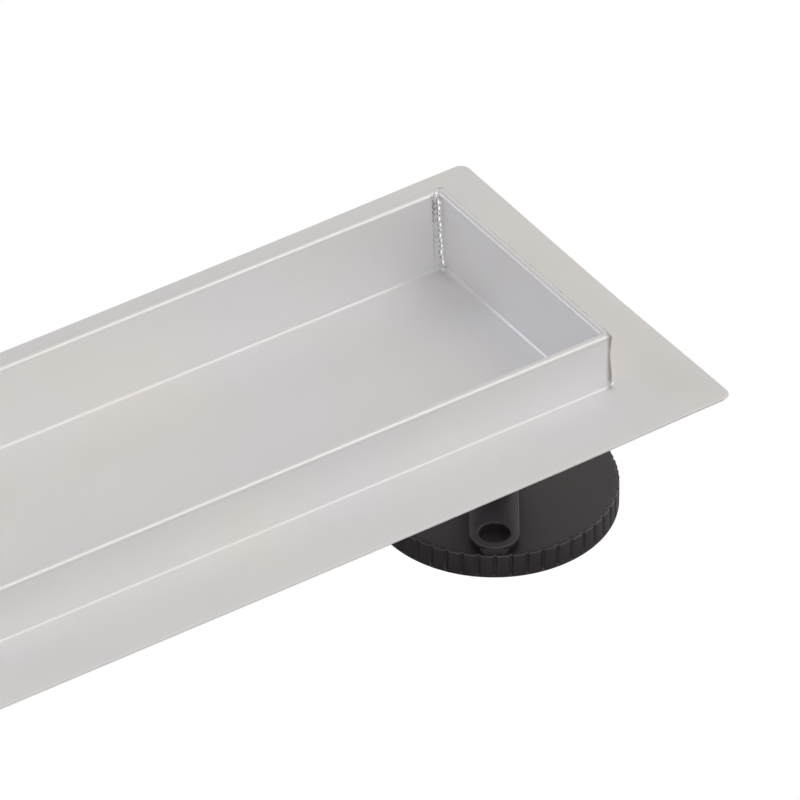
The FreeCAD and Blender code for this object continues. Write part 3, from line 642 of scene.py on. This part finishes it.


# Black polypropylene with a purplish cast: half dull with a fine moulded grain, worn a little whiter on its edges,
# with a painted reflection, bluish grey in patches, on the lugs' tops, and a few pale specks of dust.
foot_plastic = new_material("moulded_black_polypropylene")
foot_spots = add_node(foot_plastic, "ShaderNodeTexCoord")
grain = add_node(foot_plastic, "ShaderNodeTexNoise", {"Scale": 1400.0, "Detail": 3.0},
                 {"Vector": foot_spots.outputs["Object"]})
wear = add_node(foot_plastic, "ShaderNodeTexNoise", {"Scale": 45.0, "Detail": 4.0},
                {"Vector": foot_spots.outputs["Object"]})
dust = add_node(foot_plastic, "ShaderNodeTexVoronoi", {"Scale": 170.0, "Randomness": 1.0},
                {"Vector": foot_spots.outputs["Object"]})
dust_mask = add_node(foot_plastic, "ShaderNodeMapRange", {"From Min": 0.07, "From Max": 0.05},
                     {"Value": dust.outputs["Distance"]})
dust_pick = add_node(foot_plastic, "ShaderNodeSeparateColor", links={"Color": dust.outputs["Color"]})
dust_few = add_node(foot_plastic, "ShaderNodeMath", {"operation": "GREATER_THAN", 1: 0.93},
                    {0: dust_pick.outputs[0]})
dust_amount = add_node(foot_plastic, "ShaderNodeMath", {"operation": "MULTIPLY"},
                       {0: dust_mask.outputs[0], 1: dust_few.outputs[0]})
foot_tint = add_node(foot_plastic, "ShaderNodeMix", {"data_type": "RGBA"}, {"Factor": wear.outputs[0]})
foot_tint.inputs[6].default_value = linear("2a2226")
foot_tint.inputs[7].default_value = linear("3b3338")
edge_marks = add_node(foot_plastic, "ShaderNodeAttribute", {"attribute_name": "whitened_edge"})
edge_share = add_node(foot_plastic, "ShaderNodeMath", {"operation": "MULTIPLY"},
                      {0: edge_marks.outputs["Fac"], 1: wear.outputs[0]})
edged_tint = add_node(foot_plastic, "ShaderNodeMix", {"data_type": "RGBA"},
                      {"Factor": edge_share.outputs[0], 6: foot_tint.outputs[2]})
edged_tint.inputs[7].default_value = linear("a09c9e")
foot_axes = add_node(foot_plastic, "ShaderNodeSeparateXYZ", links={"Vector": foot_spots.outputs["Object"]})
# Painted reflection: the lugs' flat tops turn bluish grey in patches.
on_lug = add_node(foot_plastic, "ShaderNodeMath", {"operation": "COMPARE", 1: LUG_TOP, 2: 0.0003},
                  {0: foot_axes.outputs["Z"]})
lug_reflection_share = add_node(foot_plastic, "ShaderNodeMath", {"operation": "MULTIPLY"},
                      {0: on_lug.outputs[0], 1: wear.outputs[0]})
lug_reflection_tint = add_node(foot_plastic, "ShaderNodeMix", {"data_type": "RGBA"},
                     {"Factor": lug_reflection_share.outputs[0], 6: edged_tint.outputs[2]})
lug_reflection_tint.inputs[7].default_value = linear("4c4a50")
foot_colour = add_node(foot_plastic, "ShaderNodeMix", {"data_type": "RGBA"},
                       {"Factor": dust_amount.outputs[0], 6: lug_reflection_tint.outputs[2]})
foot_colour.inputs[7].default_value = linear("9c9a9b")
foot_rough = add_node(foot_plastic, "ShaderNodeMapRange", {"To Min": 0.30, "To Max": 0.46},
                      {"Value": wear.outputs[0]})
foot_bump = add_node(foot_plastic, "ShaderNodeBump", {"Strength": 0.12, "Distance": 0.0002},
                     {"Height": grain.outputs[0]})
foot_shader = add_node(foot_plastic, "ShaderNodeBsdfPrincipled", {"IOR": 1.6},
                       {"Base Color": foot_colour.outputs[2], "Roughness": foot_rough.outputs[0],
                        "Normal": foot_bump.outputs[0]})
add_node(foot_plastic, "ShaderNodeOutputMaterial", links={"Surface": foot_shader.outputs[0]})

for side, turn in FOOT_TURNS.items():
    low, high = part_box("foot_" + side)
    foot = foot_disc()
    for half_turn in (0, math.pi):
        one_lug = foot_lug()
        bmesh.ops.rotate(one_lug, verts=one_lug.verts, matrix=Matrix.Rotation(half_turn, 3, "Z"))
        lug_mesh = bpy.data.meshes.new("one_lug")
        one_lug.to_mesh(lug_mesh)
        one_lug.free()
        foot.from_mesh(lug_mesh)
        bpy.data.meshes.remove(lug_mesh)
    for i in range(RIBS):
        rib = bmesh.ops.create_cube(foot, size=1)["verts"]
        length = RIM_INSIDE - HUB_WALL_OUTSIDE + 0.0006
        bmesh.ops.scale(foot, vec=(length, 2 * RIB_HALF, SKIN_UNDER), verts=rib)
        bmesh.ops.translate(foot, vec=((RIM_INSIDE + HUB_WALL_OUTSIDE) / 2, 0, SKIN_UNDER / 2 + 0.0001), verts=rib)
        bmesh.ops.rotate(foot, verts=rib, matrix=Matrix.Rotation(math.radians((i + 0.5) * 360 / RIBS), 3, "Z"))
    whitened = foot.verts.layers.float.new("whitened_edge")
    for vertex in foot.verts:
        from_hub = vertex.co.xy.length
        rim_edge = FOOT_HEIGHT - 0.5 * EDGE_ROUNDING < vertex.co.z < FOOT_HEIGHT - 1e-5 and from_hub > RIM_INSIDE
        lug_edge = LUG_TOP - 0.5 * EDGE_ROUNDING < vertex.co.z < LUG_TOP - 1e-5 and from_hub < FOOT_RADIUS
        vertex[whitened] = float(rim_edge or lug_edge)
    bmesh.ops.rotate(foot, verts=foot.verts, matrix=Matrix.Rotation(math.radians(turn), 3, "Z"))
    bmesh.ops.translate(foot, verts=foot.verts, vec=((low.x + high.x) / 2, 0, 0))
    moulded = place_object("foot_moulding_" + side, foot, foot_plastic, 32)
    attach(moulded, "foot_" + side)
    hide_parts("foot_" + side)

# Waste.
# Under the trough's hole a pressed stainless ring clamps the floor between two rubber gaskets, held down on the trap's
# cover by six stainless countersunk screws with hexagon sockets. A punched, turned-down strainer lies in the ring.


def finish_nodes(names, material):
    """Gives CAD nodes their finish."""
    for name in names:
        for material_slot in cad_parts[name].material_slots:
            material_slot.material = material


# Turned on a lathe after pressing: rings of fine tool marks 0.4 mm apart round the waste spread the shine sideways.
ring_steel = new_material("turned_stainless_ring")
ring_place = add_node(ring_steel, "ShaderNodeTexCoord")
tool_marks = add_node(ring_steel, "ShaderNodeTexWave", {
    "wave_type": "RINGS", "rings_direction": "Z", "Scale": 0.31 / 0.0004, "Distortion": 0.6, "Detail": 1.0},
    {"Vector": ring_place.outputs["Object"]})
ring_smears = add_node(ring_steel, "ShaderNodeTexNoise", {"Scale": 1 / 0.012, "Detail": 3.0},
                       {"Vector": ring_place.outputs["Object"]})
ring_rough = add_node(ring_steel, "ShaderNodeMapRange", {"To Min": 0.28, "To Max": 0.44},
                      {"Value": ring_smears.outputs[0]})
ring_tint = add_node(ring_steel, "ShaderNodeMix", {"data_type": "RGBA"}, {"Factor": ring_smears.outputs[0]})
ring_tint.inputs[6].default_value = linear("dddbd9")
ring_tint.inputs[7].default_value = linear("eeecea")
ring_bump = add_node(ring_steel, "ShaderNodeBump", {"Strength": 0.15, "Distance": 0.00005},
                     {"Height": tool_marks.outputs[0]})
ring_shader = add_node(ring_steel, "ShaderNodeBsdfPrincipled", {"Metallic": 1.0}, {
    "Base Color": ring_tint.outputs[2], "Roughness": ring_rough.outputs[0], "Normal": ring_bump.outputs[0]})
add_node(ring_steel, "ShaderNodeOutputMaterial", links={"Surface": ring_shader.outputs[0]})
finish_nodes(["clamp_ring", "hair_strainer"], ring_steel)

# Cold-headed stainless screws, tumbled bright: smooth with small dents 1 mm apart, their tone and shine varying with
# them.
screw_steel = new_material("tumbled_stainless_screw")
screw_place = add_node(screw_steel, "ShaderNodeTexCoord")
dents = add_node(screw_steel, "ShaderNodeTexNoise", {"Scale": 1 / 0.001, "Detail": 2.0},
                 {"Vector": screw_place.outputs["Object"]})
screw_tint = add_node(screw_steel, "ShaderNodeMix", {"data_type": "RGBA"}, {"Factor": dents.outputs[0]})
screw_tint.inputs[6].default_value = linear("cfcdcb")
screw_tint.inputs[7].default_value = linear("e9e7e5")
screw_rough = add_node(screw_steel, "ShaderNodeMapRange", {"To Min": 0.18, "To Max": 0.34}, {"Value": dents.outputs[0]})
screw_bump = add_node(screw_steel, "ShaderNodeBump", {"Strength": 0.2, "Distance": 0.0001},
                      {"Height": dents.outputs[0]})
screw_shader = add_node(screw_steel, "ShaderNodeBsdfPrincipled", {"Metallic": 1.0}, {
    "Base Color": screw_tint.outputs[2], "Roughness": screw_rough.outputs[0], "Normal": screw_bump.outputs[0]})
add_node(screw_steel, "ShaderNodeOutputMaterial", links={"Surface": screw_shader.outputs[0]})
finish_nodes(["clamp_screws"], screw_steel)

# Black EPDM rubber, moulded and lightly talced: matt, with a pale bloom in patches about 4 mm wide.
rubber = new_material("moulded_epdm_rubber")
rubber_place = add_node(rubber, "ShaderNodeTexCoord")
bloom = add_node(rubber, "ShaderNodeTexNoise", {"Scale": 1 / 0.004, "Detail": 4.0},
                 {"Vector": rubber_place.outputs["Object"]})
rubber_tint = add_node(rubber, "ShaderNodeMix", {"data_type": "RGBA"}, {"Factor": bloom.outputs[0]})
rubber_tint.inputs[6].default_value = linear("161616")
rubber_tint.inputs[7].default_value = linear("2c2c2b")
rubber_rough = add_node(rubber, "ShaderNodeMapRange", {"To Min": 0.62, "To Max": 0.85}, {"Value": bloom.outputs[0]})
rubber_bump = add_node(rubber, "ShaderNodeBump", {"Strength": 0.25, "Distance": 0.0001}, {"Height": bloom.outputs[0]})
rubber_shader = add_node(rubber, "ShaderNodeBsdfPrincipled", {"IOR": 1.52}, {
    "Base Color": rubber_tint.outputs[2], "Roughness": rubber_rough.outputs[0], "Normal": rubber_bump.outputs[0]})
add_node(rubber, "ShaderNodeOutputMaterial", links={"Surface": rubber_shader.outputs[0]})
finish_nodes(["upper_gasket", "lower_gasket", "trap_seal", "dip_tube_ring"], rubber)

# Trap.
# A water trap in moulded polypropylene hangs under the waste: cover, pot with its inner cup and outlet spigot, and a
# dip tube that lifts out. Brass bushes in the cover's bosses take the clamp screws. Mid-grey, as drainage fittings are.
trap_plastic = new_material("moulded_grey_polypropylene")
trap_place = add_node(trap_plastic, "ShaderNodeTexCoord")
spark_grain = add_node(trap_plastic, "ShaderNodeTexNoise", {"Scale": 1 / 0.0008, "Detail": 2.0},
                       {"Vector": trap_place.outputs["Object"]})
flow_marks = add_node(trap_plastic, "ShaderNodeTexNoise", {"Scale": 1 / 0.030, "Detail": 3.0, "Distortion": 0.8},
                      {"Vector": trap_place.outputs["Object"]})
trap_tint = add_node(trap_plastic, "ShaderNodeMix", {"data_type": "RGBA"}, {"Factor": flow_marks.outputs[0]})
trap_tint.inputs[6].default_value = linear("484848")
trap_tint.inputs[7].default_value = linear("585857")
trap_rough = add_node(trap_plastic, "ShaderNodeMapRange", {"To Min": 0.36, "To Max": 0.54},
                      {"Value": flow_marks.outputs[0]})
trap_bump = add_node(trap_plastic, "ShaderNodeBump", {"Strength": 0.12, "Distance": 0.0001},
                     {"Height": spark_grain.outputs[0]})
trap_shader = add_node(trap_plastic, "ShaderNodeBsdfPrincipled", {"IOR": 1.49}, {
    "Base Color": trap_tint.outputs[2], "Roughness": trap_rough.outputs[0], "Normal": trap_bump.outputs[0]})
add_node(trap_plastic, "ShaderNodeOutputMaterial", links={"Surface": trap_shader.outputs[0]})
finish_nodes(["trap_cover", "trap_base"], trap_plastic)

# The dip tube is moulded in natural white-grey polypropylene, a little see-through at its rims.
tube_plastic = new_material("moulded_natural_polypropylene")
tube_place = add_node(tube_plastic, "ShaderNodeTexCoord")
tube_marks = add_node(tube_plastic, "ShaderNodeTexNoise", {"Scale": 1 / 0.015, "Detail": 3.0},
                      {"Vector": tube_place.outputs["Object"]})
tube_tint = add_node(tube_plastic, "ShaderNodeMix", {"data_type": "RGBA"}, {"Factor": tube_marks.outputs[0]})
tube_tint.inputs[6].default_value = linear("c4c6c8")
tube_tint.inputs[7].default_value = linear("d6d8d9")
tube_rough = add_node(tube_plastic, "ShaderNodeMapRange", {"To Min": 0.30, "To Max": 0.45},
                      {"Value": tube_marks.outputs[0]})
tube_shader = add_node(tube_plastic, "ShaderNodeBsdfPrincipled", {"IOR": 1.49, "Subsurface Weight": 0.15,
                                                                 "Subsurface Scale": 0.002}, {
    "Base Color": tube_tint.outputs[2], "Roughness": tube_rough.outputs[0]})
add_node(tube_plastic, "ShaderNodeOutputMaterial", links={"Surface": tube_shader.outputs[0]})
finish_nodes(["dip_tube"], tube_plastic)

# Turned brass, dulled in the hand: rings of tool marks 0.3 mm apart, browner in patches.
brass = new_material("turned_brass")
brass_place = add_node(brass, "ShaderNodeTexCoord")
brass_marks = add_node(brass, "ShaderNodeTexWave", {"bands_direction": "Z", "Scale": 0.31 / 0.0003, "Distortion": 0.3},
                       {"Vector": brass_place.outputs["Object"]})
tarnish = add_node(brass, "ShaderNodeTexNoise", {"Scale": 1 / 0.003, "Detail": 3.0},
                   {"Vector": brass_place.outputs["Object"]})
brass_tint = add_node(brass, "ShaderNodeMix", {"data_type": "RGBA"}, {"Factor": tarnish.outputs[0]})
brass_tint.inputs[6].default_value = linear("a98242")
brass_tint.inputs[7].default_value = linear("dcb96c")
brass_rough = add_node(brass, "ShaderNodeMapRange", {"To Min": 0.45, "To Max": 0.25}, {"Value": tarnish.outputs[0]})
brass_bump = add_node(brass, "ShaderNodeBump", {"Strength": 0.2, "Distance": 0.00005},
                      {"Height": brass_marks.outputs[0]})
brass_shader = add_node(brass, "ShaderNodeBsdfPrincipled", {"Metallic": 1.0}, {
    "Base Color": brass_tint.outputs[2], "Roughness": brass_rough.outputs[0], "Normal": brass_bump.outputs[0]})
add_node(brass, "ShaderNodeOutputMaterial", links={"Surface": brass_shader.outputs[0]})
finish_nodes(["boss_bushes", "foot_bush_right", "foot_bush_left"], brass)

# Studs.
# A threaded M10 stud is welded under each end of the channel and screws into its foot. A washer and a lock nut on it
# bear on the foot's hub. All are steel with a bright zinc plate.
STUD_RADIUS = 0.005
THREAD_PITCH = 0.0015
THREAD_DEPTH = 0.0008
THREAD_STEPS = 24
STUD_WELD_RADIUS = 0.0075
STUD_WELD_HEIGHT = 0.0025

# Bright zinc plate: bluish white, with a soft spangle about 2 mm wide that clouds its shine.
zinc = new_material("bright_zinc_plated_steel")
zinc_place = add_node(zinc, "ShaderNodeTexCoord")
spangle = add_node(zinc, "ShaderNodeTexNoise", {"Scale": 1 / 0.002, "Detail": 3.0},
                   {"Vector": zinc_place.outputs["Object"]})
zinc_tint = add_node(zinc, "ShaderNodeMix", {"data_type": "RGBA"}, {"Factor": spangle.outputs[0]})
zinc_tint.inputs[6].default_value = linear("c3c7cb")
zinc_tint.inputs[7].default_value = linear("dfe2e6")
zinc_rough = add_node(zinc, "ShaderNodeMapRange", {"To Min": 0.20, "To Max": 0.38}, {"Value": spangle.outputs[0]})
zinc_shader = add_node(zinc, "ShaderNodeBsdfPrincipled", {"Metallic": 1.0}, {
    "Base Color": zinc_tint.outputs[2], "Roughness": zinc_rough.outputs[0]})
add_node(zinc, "ShaderNodeOutputMaterial", links={"Surface": zinc_shader.outputs[0]})
finish_nodes(["washer_right", "washer_left", "lock_nut_right", "lock_nut_left"], zinc)

thread_profile = [(0.0, 0), (0.08, 0), (0.45, THREAD_DEPTH), (0.55, THREAD_DEPTH), (0.92, 0)]
for side in ("right", "left"):
    low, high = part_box("stud_" + side)
    stud = bmesh.new()
    turns = math.ceil((high.z - low.z) / THREAD_PITCH) + 2
    points = []
    for turn in range(turns):
        points += [Vector((STUD_RADIUS - depth, 0, low.z + (turn - 1 + share) * THREAD_PITCH))
                   for share, depth in thread_profile]
    ridge = [stud.verts.new(point) for point in points]
    cut_line = ridge + [stud.edges.new(pair) for pair in zip(ridge, ridge[1:])]
    bmesh.ops.spin(stud, geom=cut_line, cent=(0, 0, 0), axis=(0, 0, 1), dvec=(0, 0, THREAD_PITCH / THREAD_STEPS),
                   angle=2 * math.pi, steps=THREAD_STEPS, use_merge=False)
    bmesh.ops.remove_doubles(stud, verts=stud.verts, dist=2e-6)
    for z, way in ((low.z, -1), (high.z - 0.0001, 1)):
        bmesh.ops.bisect_plane(stud, geom=stud.verts[:] + stud.edges[:] + stud.faces[:], dist=1e-7, plane_co=(0, 0, z),
                               plane_no=(0, 0, way), clear_outer=True)
    for vertex in stud.verts:
        room = STUD_RADIUS - 0.001 + (vertex.co.z - low.z)
        if vertex.co.xy.length > room:
            vertex.co.xy = vertex.co.xy.normalized() * room
    bmesh.ops.holes_fill(stud, edges=[edge for edge in stud.edges if len(edge.link_faces) == 1], sides=0)
    weld_low = high.z - STUD_WELD_HEIGHT
    turned_solid(stud, [(STUD_RADIUS - THREAD_DEPTH, weld_low), (STUD_RADIUS, weld_low),
                        (STUD_RADIUS + 0.0007, weld_low + 0.0009), (STUD_RADIUS + 0.0016, weld_low + 0.0019),
                        (STUD_WELD_RADIUS, high.z), (STUD_RADIUS - THREAD_DEPTH, high.z)], 48)
    bmesh.ops.translate(stud, verts=stud.verts, vec=((low.x + high.x) / 2, 0, 0))
    threaded = place_object("threaded_stud_" + side, stud, zinc, 30)
    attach(threaded, "drain")
    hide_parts("stud_" + side)
